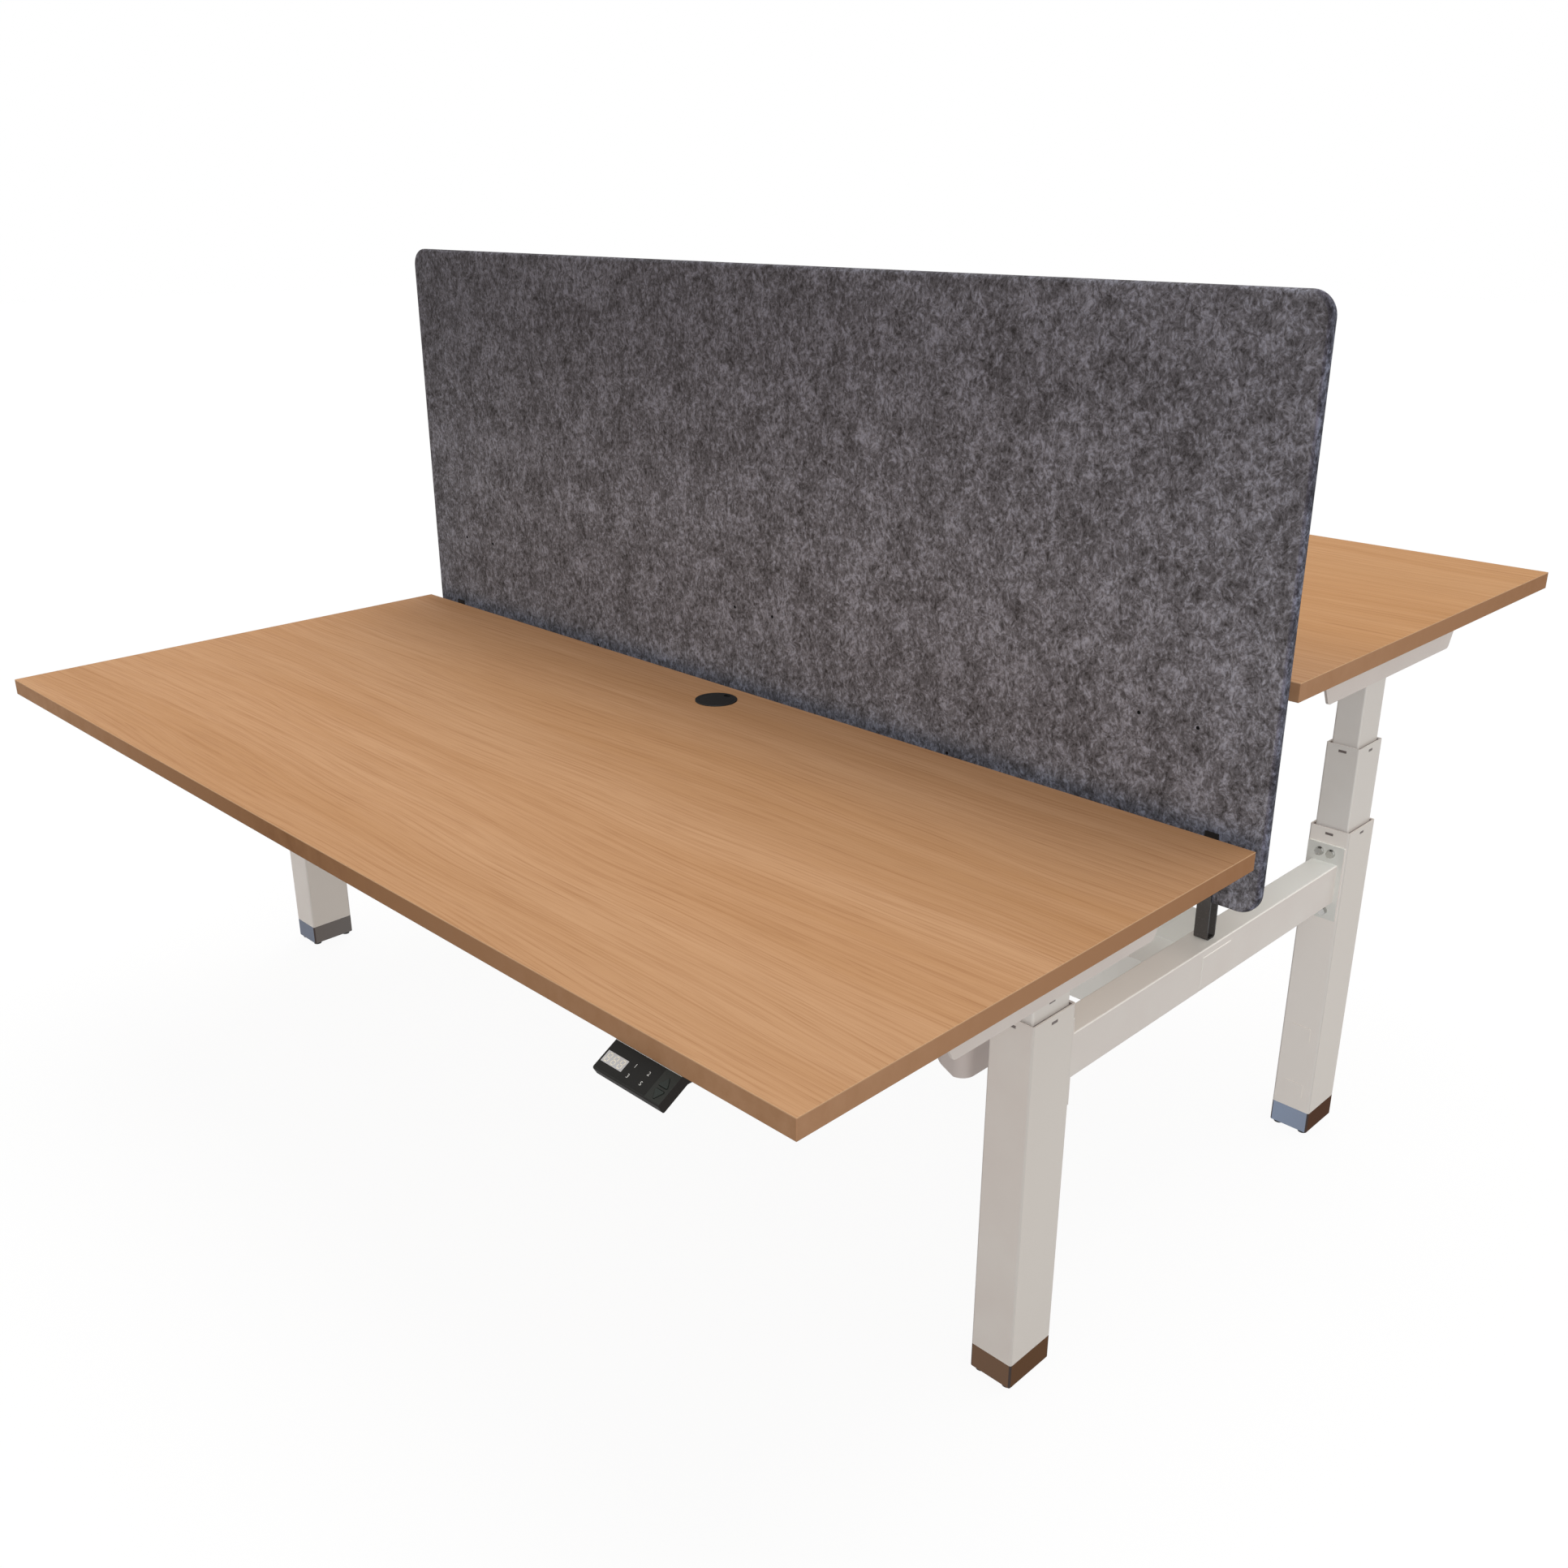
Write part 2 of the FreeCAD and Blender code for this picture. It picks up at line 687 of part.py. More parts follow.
def drive_shaft():
    """The hexagon rod that takes the motor's turning to the other column."""
    reach = column_x - motor_inner + shaft_in_gearbox - shaft_clearance
    rod = hexagon(shaft_across, 2 * reach, Vector(0, 0, 0), X_AXIS)
    rod.translate(Vector(-reach, -column_y, shaft_height))
    return rod


def motor_housing():
    """A tall housing by the user's right column; its underside slopes up towards the desk's middle."""
    inner = -motor_inner
    outer = inner + motor_width
    low = gearbox_bottom - motor_drop
    slope_rise = (motor_width - motor_flat) * math.tan(math.radians(motor_slope))
    y = -motor_depth / 2
    outline = [(inner, gearbox_bottom), (outer, gearbox_bottom), (outer, low), (outer - motor_flat, low)]
    outline.append((inner, low + slope_rise))
    body = prism([Vector(x, y, z) for x, z in outline], Vector(0, motor_depth, 0))
    body = body.makeFillet(motor_round, straight_edges(body, Z_AXIS))
    return at_column(body)


def crossbars():
    bars = []
    end = column_x - motor_inner
    top = flange_bottom - crossbar_drop
    for offset in (-crossbar_offset, crossbar_offset):
        bar = rounded_tube(crossbar_size, crossbar_size, crossbar_wall, crossbar_wall, -end, end)
        bar.rotate(Vector(0, 0, 0), Y_AXIS, 90)
        bar.translate(Vector(0, offset - column_y, top - crossbar_size / 2))
        bars.append(bar)
    return bars


# Desktop and what it carries, each on the front desk

def desktop():
    top = box(-desk_length / 2, desk_length / 2, front_edge, -inner_edge, underside, desk_low_height)
    top = top.makeFillet(desk_edge_round, top.Edges)
    top = top.cut(cylinder(grommet_hole, 2 * desk_thickness, Vector(0, grommet_y, underside - cut_margin)))
    depth = desk_screw_reach - rail_sheet + end_room
    for x, y in desk_screw_spots():
        for sign in (-1, 1):
            hole = Vector(sign * x, y - rail_y, underside)
            top = top.cut(cylinder(desk_screw_diameter + 2 * screw_hole_clearance, depth, hole))
    return top


def grommet_sleeve():
    top = desk_low_height + grommet_flange_height
    outside = grommet_hole - 2 * grommet_fit
    inside = outside - 2 * grommet_wall
    start = Vector(0, grommet_y, desk_low_height - grommet_sleeve_length)
    sleeve = cylinder(outside, grommet_sleeve_length, start)
    seat = Vector(0, grommet_y, desk_low_height)
    sleeve = sleeve.fuse(cylinder(grommet_flange, grommet_flange_height, seat))
    rim = [e for e in sleeve.Edges if e.BoundBox.ZMin > top - match_tolerance]
    sleeve = sleeve.makeFillet(grommet_flange_height / 2, rim)
    ledge = Vector(0, grommet_y, top - grommet_cap_thickness - grommet_cap_clearance)
    sleeve = sleeve.cut(cylinder(inside, desk_thickness, ledge))
    through = Vector(0, grommet_y, underside - cut_margin)
    return sleeve.cut(cylinder(inside - 2 * grommet_ledge, 2 * desk_thickness, through)).removeSplitter()


def grommet_cap():
    diameter = grommet_hole - 2 * grommet_fit - 2 * grommet_wall - 2 * grommet_cap_clearance
    low = desk_low_height + grommet_flange_height - grommet_cap_thickness
    cap = cylinder(diameter, grommet_cap_thickness, Vector(0, grommet_y, low))
    half = grommet_notch / 2
    rim = grommet_y + diameter / 2
    inner = rim - grommet_notch_depth + half
    notch = box(-half, half, inner, rim + half, low - cut_margin, low + 2 * grommet_cap_thickness)
    root = Vector(0, inner, low - cut_margin)
    notch = notch.fuse(cylinder(grommet_notch, 3 * grommet_cap_thickness, root))
    return cap.cut(notch)


def control_box():
    top = underside
    wide = box_length / 2
    deep = box_depth / 2
    case = box(-wide, wide, box_y - deep, box_y + deep, top - box_height, top)
    lower = [e for e in case.Edges if e.BoundBox.ZMin < top - match_tolerance]
    case = case.makeFillet(box_round, lower)
    middle = top - box_height / 2
    face = box_y + box_depth / 2
    openings = [(inlet_place, inlet_width, inlet_height, inlet_depth)]
    openings += [(place, socket_width, socket_height, socket_depth) for place in socket_places]
    for place, width, height, depth in openings:
        case = case.cut(box(place - width / 2, place + width / 2, face - depth, face + cut_margin,
                            middle - height / 2, middle + height / 2))
    return case


def on_face(shape):
    """Moves a piece drawn flat, with its upper edge on the X axis, onto the tilted handset face."""
    shape = shape.copy()
    tilt = FreeCAD.Rotation(X_AXIS, handset_tilt)
    seat = FreeCAD.Placement(Vector(handset_middle, front_edge, underside), tilt)
    shape.Placement = seat.multiply(shape.Placement)
    return shape


def key_shape(upward, grow, low, high):
    """A triangular key with rounded corners; grow widens it all round."""
    base = -key_up_base if upward else -key_down_base
    point = base + key_length if upward else base - key_length
    sign = 1 if upward else -1
    half = key_width / 2
    slant = math.hypot(half, key_length)
    side_grow = grow * slant / key_length
    tip_grow = grow * slant / half
    reach = (half / key_length) * grow
    corners = [Vector(key_middle - half - side_grow - reach, base - sign * grow, low),
               Vector(key_middle + half + side_grow + reach, base - sign * grow, low),
               Vector(key_middle, point + sign * tip_grow, low)]
    key = prism(corners, Vector(0, 0, high - low))
    return key.makeFillet(key_corner_radius + grow, straight_edges(key, Z_AXIS))


def handset_key(upward):
    return on_face(key_shape(upward, 0, key_rise - key_height, key_rise))


def handset():
    tilt = math.radians(handset_tilt)
    lip_y = front_edge - handset_face * math.cos(tilt)
    lip_z = underside - handset_face * math.sin(tilt)
    across_y = handset_thickness * math.sin(tilt)
    across_z = handset_thickness * math.cos(tilt)
    back = front_edge + handset_back
    left = handset_middle - handset_width / 2
    outline = [(front_edge, underside), (lip_y, lip_z), (lip_y + across_y, lip_z - across_z)]
    outline.append((front_edge + across_y, underside - across_z))
    outline += [(back, underside - across_z), (back, underside)]
    body = prism([Vector(left, y, z) for y, z in outline], Vector(handset_width, 0, 0))
    front = [e for e in straight_edges(body, X_AXIS) if e.BoundBox.ZMax < lip_z + match_tolerance]
    body = body.makeFillet(handset_round, front)
    for upward in (True, False):
        body = body.cut(on_face(key_shape(upward, key_clearance, -key_pocket_depth, key_height)))
    return body


# Writing the pieces

def save(name, *solids):
    shape = solids[0] if len(solids) == 1 else Part.makeCompound(list(solids))
    shape.exportStep("parts/" + name + ".step")


def every_column(shape):
    return [mirrored(shape, side, row) for row in ROWS.values() for side in SIDES.values()]


def both_sides(shape):
    return [mirrored(shape, side, -1) for side in SIDES.values()]


os.makedirs("parts", exist_ok=True)

# Standing frame
save("foot_caps", *every_column(foot_cap()))
save("foot_pads", *[copy for pad in foot_pads() for copy in every_column(pad)])
cavity = (column_width - 2 * column_wall, column_depth - 2 * column_wall)
save("outer_glides", *every_column(glide(*cavity, outer_top)))
save("lower_nut_tubes", *every_column(nut_tube()))
for side_name, side in SIDES.items():
    save("side_beam_" + side_name, mirrored(side_beam(), side, -1))
save("frame_bolts", *[copy for bolt in beam_bolts() for copy in both_sides(bolt)])
save("screen_brackets", *both_sides(screen_bracket()))
save("cable_tray", cable_tray())
save("screen_panel", screen_panel())
save("screen_bolts", *[copy for bolt in screen_bolts() for copy in both_sides(bolt)])

# Columns
for row_name, row in ROWS.items():
    for side_name, side in SIDES.items():
        place = "_" + row_name + "_" + side_name
        save("outer_column" + place, mirrored(outer_column(), side, row))
        save("mid_stage" + place, raised(mirrored(mid_stage(), side, row), row, 0.5))
        save("hollow_spindle" + place, raised(mirrored(hollow_spindle(), side, row), row, 0.5))
        save("inner_stage" + place, raised(mirrored(inner_stage(), side, row), row))
        save("drive_spindle" + place, raised(mirrored(drive_spindle(), side, row), row))

# Desks
for row_name, row in ROWS.items():
    def pair(shape):
        return [raised(mirrored(shape, side, row), row) for side in SIDES.values()]

    end = "_" + row_name
    glides = [raised(mirrored(ring, side, row), row, 0.5) for ring in mid_glides() for side in SIDES.values()]
    save("mid_glides" + end, *glides)
    save("desktop" + end, for_desk(desktop(), row))
    save("side_rails" + end, *pair(side_rail()))
    save("crossbars" + end, *[for_desk(bar, row) for bar in crossbars()])
    save("gearboxes" + end, *pair(gearbox()))
    save("motor_housing" + end, for_desk(motor_housing(), row))
    save("drive_shaft" + end, for_desk(drive_shaft(), row))
    save("desk_screws" + end, *[copy for screw in desk_screws() for copy in pair(screw)])
    save("control_box" + end, for_desk(control_box(), row))
    save("grommet_sleeve" + end, for_desk(grommet_sleeve(), row))
    save("grommet_cap" + end, for_desk(grommet_cap(), row))
    save("handset" + end, for_desk(handset(), row))
    save("up_key" + end, for_desk(handset_key(True), row))
    save("down_key" + end, for_desk(handset_key(False), row))
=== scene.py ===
import math

import bpy
from mathutils import Matrix, Vector


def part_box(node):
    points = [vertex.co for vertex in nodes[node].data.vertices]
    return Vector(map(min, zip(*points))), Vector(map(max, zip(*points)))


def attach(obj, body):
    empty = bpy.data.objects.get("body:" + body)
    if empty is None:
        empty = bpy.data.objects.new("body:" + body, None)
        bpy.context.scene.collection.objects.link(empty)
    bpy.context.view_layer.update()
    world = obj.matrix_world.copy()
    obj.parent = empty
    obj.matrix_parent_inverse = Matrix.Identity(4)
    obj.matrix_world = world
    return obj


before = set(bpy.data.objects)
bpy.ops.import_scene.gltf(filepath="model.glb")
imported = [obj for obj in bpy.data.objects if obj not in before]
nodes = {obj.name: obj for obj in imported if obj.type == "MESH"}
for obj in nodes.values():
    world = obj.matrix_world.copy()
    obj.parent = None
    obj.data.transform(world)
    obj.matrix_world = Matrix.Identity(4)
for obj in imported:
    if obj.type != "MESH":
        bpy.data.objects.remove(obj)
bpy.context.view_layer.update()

# Back-to-back sit-stand desk: looks, small printed details, light and camera.
# Metres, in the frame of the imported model: X along the desktops, Y to the rear desk, Z up.

# Camera
CAMERA_PLACE = (1.677746, -1.630739, 1.355081)
CAMERA_TURN = (68.627, 0.0, 44.760)      # degrees
CAMERA_LENS = 34.737                     # millimetres, as is the sensor
CAMERA_SENSOR = 36.0
CAMERA_REACH = 100.0

# Light: directions point from the desk to the light
WORLD_STRENGTH = 0.39
WORLD_TINT = (1.0, 0.985, 0.97, 1.0)
WHITE = (1.0, 1.0, 1.0, 1.0)
KEY_STRENGTH = 1.56
SUN_SPREAD = 50.0                        # degrees
KEY_FROM = (-0.10, 0.34, 0.94)
FILL_STRENGTH = 1.54
FILL_FROM = (0.35, -0.34, 0.40)
FLOOR_SIZE = 40.0
FLOOR_GLOW = 0.92                        # share of plain white in what the camera sees of it
FLOOR_GREY = (0.45, 0.45, 0.45, 1.0)     # what the floor gives back to the desk
FLOOR_PALE = (0.95, 0.95, 0.95, 1.0)     # what takes the shadow in the picture
FLOOR_ROUGHNESS = 0.9
FLOOR_SPECULAR = 0.1

# Handset print
MM = 0.001
HANDSET_TILT = 30.0           # degrees
FILM_RISE = 0.12 * MM
FILM_RIGHT = 27.0 * MM        # right edge of the film, from the handset's middle
FILM_MARGIN = 0.6 * MM
FILM_LENGTH = 34.0 * MM
WINDOW_LEFT = -46.0 * MM
WINDOW_RIGHT = -15.5 * MM
WINDOW_TOP = -13.0 * MM
WINDOW_BOTTOM = -26.0 * MM
PRINT_RISE = 0.05 * MM
PRINT_HEIGHT = 6.6 * MM
PRINT_CURVE_STEPS = 4
# Middle of each figure: along the face and down from its upper edge, in millimetres
PRINT_PLACES = {"1": (-5.4, 13.7), "2": (14.1, 13.9), "3": (-5.2, 25.9), "S": (13.7, 25.8)}
SEGMENT_HEIGHT = 9.4 * MM
SEGMENT_WIDTH = 5.0 * MM
SEGMENT_STROKE = 0.9 * MM
SEGMENT_GAP = 0.25 * MM
SEGMENT_SLANT = 0.14
SEGMENT_PITCH = 9.6 * MM
# Height of the painted highlight strip along the handset face's upper edge
HIGHLIGHT_HEIGHT = 0.35 * MM

# Desktops
BOARD_BASE = 0.580            # a level just under the lower board
DESK_STEP = 0.2005            # the step up from there to the same level at the other board
ARRIS_LOW = 0.0258            # above that level, where the painted highlight on the upper arris starts
ARRIS_HIGH = 0.0266           # and where it is full
HALF_DEPTH = 0.862            # from the middle line to a board's outer edge

# Beech print: stretch of each layer of noise along X, Y and Z
WARP_STRETCH = (0.9, 3.5, 3.5)
WARP_SHIFT = 0.05
BAND_STRETCH = (0.55, 17.0, 17.0)
STREAK_STRETCH = (1.8, 120.0, 120.0)
LINE_STRETCH = (4.0, 250.0, 250.0)
POOL_STRETCH = (1.3, 3.2, 3.2)
FLECK_STRETCH = (14.0, 620.0, 620.0)
PATCH_STRETCH = (42.0, 42.0, 30.0)

# Screen
SCREEN_MIDDLE = 0.8825        # height of its middle
HOLES_ACROSS = 0.87           # how far from its middle the small holes may lie, along X
HOLES_UP = 0.35               # and along Z
HOLES_BLUR = 0.01
SHADE_REACH = 0.036           # how far the shade of a near piece reaches

# Felt: scale of each layer of noise, how far it bends the fibres, and the fibres' shares
TWIST_SCALE = 38.0
TWIST_SHIFT = 0.02
CLOUDS_SCALE = 21.0
FIBRES_SCALE = 235.0
STRANDS_SCALE = 95.0
LOOPS_SCALE = 75.0
FIBRES_SHARE = 0.62
STRANDS_SHARE = 0.38

# Feet: largest difference of Y and X among them, and the stretch of their brushing
FOOT_SPAN = 1.21
BRUSH_STRETCH = (20.0, 20.0, 900.0)

# Plain surfaces
NOISE_LOW = 0.3               # the range of noise that counts
NOISE_HIGH = 0.7
FACE_START = 0.5              # how far a face has to look along an axis, to start and in full
FACE_FULL = 0.95
CORNER_START = 0.05           # the same for a corner: X times Y of its normal
CORNER_FULL = 0.40
CLOUD_SCALE = 14.0            # mottling
SKIN_DEPTH = 0.0004
COAT_ROUGHNESS = 0.45
COAT_GRAIN = 700.0
DULL = 0.15                   # specular level of dull plastics

ROWS = ("front", "rear")


def linear(red, green, blue):
    """A colour given as 0 to 255 screen values, in linear light with full cover."""
    def one(value):
        value /= 255
        return value / 12.92 if value <= 0.04045 else ((value + 0.055) / 1.055) ** 2.4
    return (one(red), one(green), one(blue), 1.0)


# Material tools

# Sockets of the mix node when it mixes colours: factor, first, second; and its result
MIX_INPUTS = (0, 6, 7)
MIX_RESULT = 2


class Paint:
    """A material and short ways to add nodes to it."""

    def __init__(self, name):
        self.material = bpy.data.materials.new(name)
        self.material.use_nodes = True
        self.tree = self.material.node_tree
        self.shader = self.tree.nodes["Principled BSDF"]
        self.place = self.add("ShaderNodeTexCoord").outputs["Object"]

    def add(self, kind, values=None, **settings):
        node = self.tree.nodes.new(kind)
        for key, value in settings.items():
            setattr(node, key, value)
        for key, value in (values or {}).items():
            self.put(node.inputs[key], value)
        return node

    def put(self, socket, value):
        if isinstance(value, bpy.types.NodeSocket):
            self.tree.links.new(value, socket)
        else:
            socket.default_value = value

    def set(self, **values):
        for key, value in values.items():
            self.put(self.shader.inputs[key.replace("_", " ")], value)
        return self

    def scaled(self, scale, turn=(0, 0, 0), place=None):
        values = {"Vector": place or self.place, "Scale": scale, "Rotation": turn}
        return self.add("ShaderNodeMapping", values).outputs["Vector"]

    def noise(self, vector, scale, detail, rough=0.5):
        values = {"Vector": vector, "Scale": scale, "Detail": detail, "Roughness": rough}
        return self.add("ShaderNodeTexNoise", values).outputs["Fac"]

    def ramp(self, factor, *stops):
        node = self.add("ShaderNodeValToRGB", {"Fac": factor})
        elements = node.color_ramp.elements
        while len(elements) < len(stops):
            elements.new(0.5)
        for element, (position, colour) in zip(elements, stops):
            element.position = position
            element.color = colour
        return node.outputs["Color"]

    def span(self, factor, low, high, out_low=0.0, out_high=1.0):
        values = {"Value": factor, "From Min": low, "From Max": high}
        values.update({"To Min": out_low, "To Max": out_high})
        return self.add("ShaderNodeMapRange", values).outputs["Result"]

    def mix(self, factor, first, second, blend="MIX"):
        node = self.add("ShaderNodeMix", data_type="RGBA", blend_type=blend)
        for index, value in zip(MIX_INPUTS, (factor, first, second)):
            self.put(node.inputs[index], value)
        return node.outputs[MIX_RESULT]

    def tinted(self, share, colour, tint):
        """A colour that is multiplied by a tint where the share is 1."""
        return self.mix(share, colour, self.mix(1.0, colour, tint, "MULTIPLY"))

    def math(self, operation, first, second=0.0):
        node = self.add("ShaderNodeMath", operation=operation)
        self.put(node.inputs[0], first)
        self.put(node.inputs[1], second)
        return node.outputs[0]

    def size(self, value):
        return self.math("ABSOLUTE", value)

    def vector(self, operation, first, second):
        values = {0: first, 1: second}
        return self.add("ShaderNodeVectorMath", values, operation=operation).outputs["Vector"]

    def facing(self):
        """The surface normal's parts along X, Y and Z."""
        normal = self.add("ShaderNodeNewGeometry").outputs["Normal"]
        return self.add("ShaderNodeSeparateXYZ", {"Vector": normal}).outputs

    def spot(self):
        """The place on the piece along X, Y and Z."""
        return self.add("ShaderNodeSeparateXYZ", {"Vector": self.place}).outputs

    def colour(self):
        """What feeds the base colour so far."""
        return self.shader.inputs["Base Color"].links[0].from_socket

    def bump(self, height, strength, distance):
        values = {"Height": height, "Strength": strength, "Distance": distance}
        self.put(self.shader.inputs["Normal"], self.add("ShaderNodeBump", values).outputs["Normal"])
        return self


def speckled(name, colour, shade, roughness, scale=400.0, metallic=0.0, bump=0.04, spread=0.06):
    """A plain moulded or coated surface: a little mottling, a fine skin and uneven gloss."""
    paint = Paint(name)
    cloud = paint.noise(paint.place, CLOUD_SCALE, 4.0)
    grain = paint.noise(paint.place, scale, 2.0)
    tone = paint.span(cloud, NOISE_LOW, NOISE_HIGH)
    gloss = paint.span(grain, NOISE_LOW, NOISE_HIGH, roughness - spread, roughness + spread)
    paint.set(Base_Color=paint.mix(tone, colour, shade), Metallic=metallic, Roughness=gloss)
    return paint.bump(grain, bump, SKIN_DEPTH)


def coat(name, colour, shade):
    """A powder coat."""
    return speckled(name, colour, shade, COAT_ROUGHNESS, COAT_GRAIN)


def faced(paint, axis, low, high, colour, part=None):
    """Another colour for the faces whose normal, along one axis, goes from low to high."""
    share = paint.span(paint.facing()[axis], low, high)
    if part is not None:
        share = paint.math("MULTIPLY", share, part)
    return paint.set(Base_Color=paint.mix(share, paint.colour(), colour))


def depth(paint, low, high):
    """Rises from 0 to 1 while Y, from the front desk to the rear one, goes from low to high."""
    return paint.span(paint.spot()["Y"], low, high)


def height(paint, low, high):
    """Rises from 0 to 1 while Z goes from low to high."""
    return paint.span(paint.spot()["Z"], low, high)


def cornered(paint, tint):
    """A darker tint on the rounded upright corners: painted shade."""
    facing = paint.facing()
    turn = paint.size(paint.math("MULTIPLY", facing["X"], facing["Y"]))
    share = paint.span(turn, CORNER_START, CORNER_FULL)
    return paint.set(Base_Color=paint.tinted(share, paint.colour(), tint))


# Materials

def beech():
    """Printed beech: soft bands and fine short flecks along X. The edges are plainer and cloudy."""
    paint = Paint("beech_laminate")

    def layer(stretch, detail, rough=0.5, place=None):
        return paint.noise(paint.scaled(stretch, place=place), 1.0, detail, rough)

    warp = paint.span(layer(WARP_STRETCH, 2.0), 0.0, 1.0, -WARP_SHIFT, WARP_SHIFT)
    shift = paint.add("ShaderNodeCombineXYZ", {"Y": warp}).outputs["Vector"]
    bent = paint.vector("ADD", paint.place, shift)
    bands = layer(BAND_STRETCH, 4.0, 0.6, bent)
    streaks = layer(STREAK_STRETCH, 4.0, 0.65, bent)
    lines = layer(LINE_STRETCH, 3.0, 0.6, bent)
    pools = layer(POOL_STRETCH, 2.0, 0.5, bent)
    flecks = layer(FLECK_STRETCH, 2.0, 0.5, bent)
    top = paint.ramp(bands, (0.30, linear(181, 136, 95)), (0.5, linear(188, 144, 105)),
                     (0.70, linear(195, 152, 114)))
    top = paint.mix(paint.span(pools, 0.35, 0.70, 0.0, 0.45), top, linear(193, 153, 117))
    top = paint.mix(paint.span(streaks, 0.35, 0.75, 0.0, 0.28), top, linear(164, 118, 78))
    top = paint.mix(paint.span(lines, 0.47, 0.72, 0.0, 0.46), top, linear(154, 108, 71))
    top = paint.mix(paint.span(flecks, 0.56, 0.78, 0.0, 0.42), top, linear(147, 102, 67))

    # Warmer on the rear desktop; darker beside the screen, as a painted shade of the screen
    spot = paint.spot()
    top = paint.tinted(paint.span(spot["Y"], 0.0, 0.3), top, linear(252, 248, 236))
    top = paint.tinted(paint.span(paint.size(spot["Y"]), 0.30, 0.07), top, linear(236, 235, 236))

    # Edges: the long ones by the distance from their middle, the short ones from front to rear
    patch = paint.span(layer(PATCH_STRETCH, 4.0, 0.6), NOISE_LOW, NOISE_HIGH, 0.0, 0.6)
    along = paint.span(paint.size(spot["X"]), 0.0, 0.75)
    front = paint.mix(along, linear(132, 93, 62), linear(174, 134, 102))
    front = paint.mix(patch, front, linear(154, 113, 79))
    across = paint.math("MODULO", paint.math("ADD", spot["Y"], 2 * HALF_DEPTH), HALF_DEPTH)
    across = paint.span(across, 0.06, HALF_DEPTH)
    end = paint.mix(across, linear(182, 140, 107), linear(157, 113, 78))
    end = paint.mix(patch, end, linear(169, 126, 92))
    facing = paint.facing()
    edge = paint.mix(paint.size(facing["X"]), front, end)
    rise = paint.math("MODULO", paint.math("SUBTRACT", spot["Z"], BOARD_BASE), DESK_STEP)
    # Painted highlight: the upper arris of the edges is paler
    edge = paint.mix(paint.span(rise, ARRIS_LOW, ARRIS_HIGH), edge, linear(195, 157, 122))
    flat = paint.span(paint.size(facing["Z"]), 0.75, 0.97)
    paint.set(Base_Color=paint.mix(flat, edge, top), Specular_IOR_Level=0.04)
    paint.set(Roughness=paint.span(streaks, NOISE_LOW, NOISE_HIGH, 0.58, 0.66))
    return paint.bump(flecks, 0.05, 0.0002)


def felt():
    """Pressed fibre board: brown-grey ground, paler lilac fibres and threads, cloudy patches."""
    paint = Paint("grey_felt")
    values = {"Vector": paint.place, "Scale": TWIST_SCALE, "Detail": 3.0}
    twist = paint.add("ShaderNodeTexNoise", values).outputs["Color"]
    centred = paint.vector("SUBTRACT", twist, (0.5, 0.5, 0.5))
    values = {0: centred, "Scale": TWIST_SHIFT}
    small = paint.add("ShaderNodeVectorMath", values, operation="SCALE").outputs["Vector"]
    bent = paint.vector("ADD", paint.place, small)

    def layer(stretch, turn, scale, detail, rough, place):
        vector = paint.scaled((1.0, 1.0, stretch), (0, turn, 0), place)
        return paint.noise(vector, scale, detail, rough)

    clouds = layer(0.8, 0.0, CLOUDS_SCALE, 4.0, 0.6, paint.place)
    fibres = layer(0.72, 0.35, FIBRES_SCALE, 5.0, 0.68, bent)
    strands = layer(0.75, 0.3, STRANDS_SCALE, 3.0, 0.6, bent)
    loops = layer(0.8, 0.9, LOOPS_SCALE, 2.0, 0.5, bent)
    fine = paint.math("MULTIPLY", fibres, FIBRES_SHARE)
    coarse = paint.math("MULTIPLY", strands, STRANDS_SHARE)
    mixed = paint.math("ADD", fine, coarse)
    mixed = paint.math("ADD", mixed, paint.span(clouds, 0.25, 0.75, -0.05, 0.05))
    ground = paint.ramp(mixed, (0.36, linear(62, 59, 60)), (0.5, linear(111, 109, 114)),
                        (0.64, linear(167, 168, 180)))
    ridge = paint.size(paint.math("SUBTRACT", loops, 0.5))
    thread = paint.span(ridge, 0.0, 0.045, 0.42, 0.0)
    thread = paint.math("MULTIPLY", thread, paint.span(clouds, 0.38, 0.62))
    ground = paint.mix(thread, ground, linear(172, 171, 180))

    # Painted shade: darker towards the top and towards the left end
    spot = paint.spot()
    upper = paint.math("MULTIPLY", paint.span(spot["Z"], 0.85, 1.15),
                       paint.span(spot["X"], 0.9, 0.0, 0.65, 1.0))
    ground = paint.tinted(upper, ground, linear(214, 211, 212))
    ground = paint.tinted(paint.span(spot["X"], 0.9, -0.9), ground, linear(226, 225, 224))

    # The rounded rim, the cut ends and the shade of what is near
    facing = paint.facing()
    end = paint.size(facing["X"])
    ground = paint.tinted(paint.span(end, 0.1, 0.35), ground, linear(216, 214, 224))
    cut = paint.ramp(mixed, (0.38, linear(42, 41, 48)), (0.5, linear(82, 82, 92)),
                     (0.62, linear(134, 137, 154)))
    ground = paint.mix(paint.span(end, 0.6, 0.85), ground, cut)
    near = paint.add("ShaderNodeAmbientOcclusion", {"Distance": SHADE_REACH}, samples=8)
    shade = paint.span(near.outputs["AO"], 0.97, 0.60)
    ground = paint.tinted(shade, ground, linear(196, 201, 212))

    # Painted shade: the walls of the small holes near black
    across = paint.size(spot["X"])
    up = paint.size(paint.math("SUBTRACT", spot["Z"], SCREEN_MIDDLE))
    hollow = paint.span(paint.size(facing["Y"]), 0.4, 0.2)
    for reach, limit in ((across, HOLES_ACROSS), (up, HOLES_UP)):
        hollow = paint.math("MULTIPLY", hollow, paint.span(reach, limit + HOLES_BLUR, limit))
    paint.set(Base_Color=paint.mix(hollow, ground, linear(14, 14, 15)), Roughness=0.95)
    paint.set(Specular_IOR_Level=0.05, Sheen_Weight=0.05, Sheen_Roughness=0.6)
    return paint.bump(fibres, 0.4, 0.001)


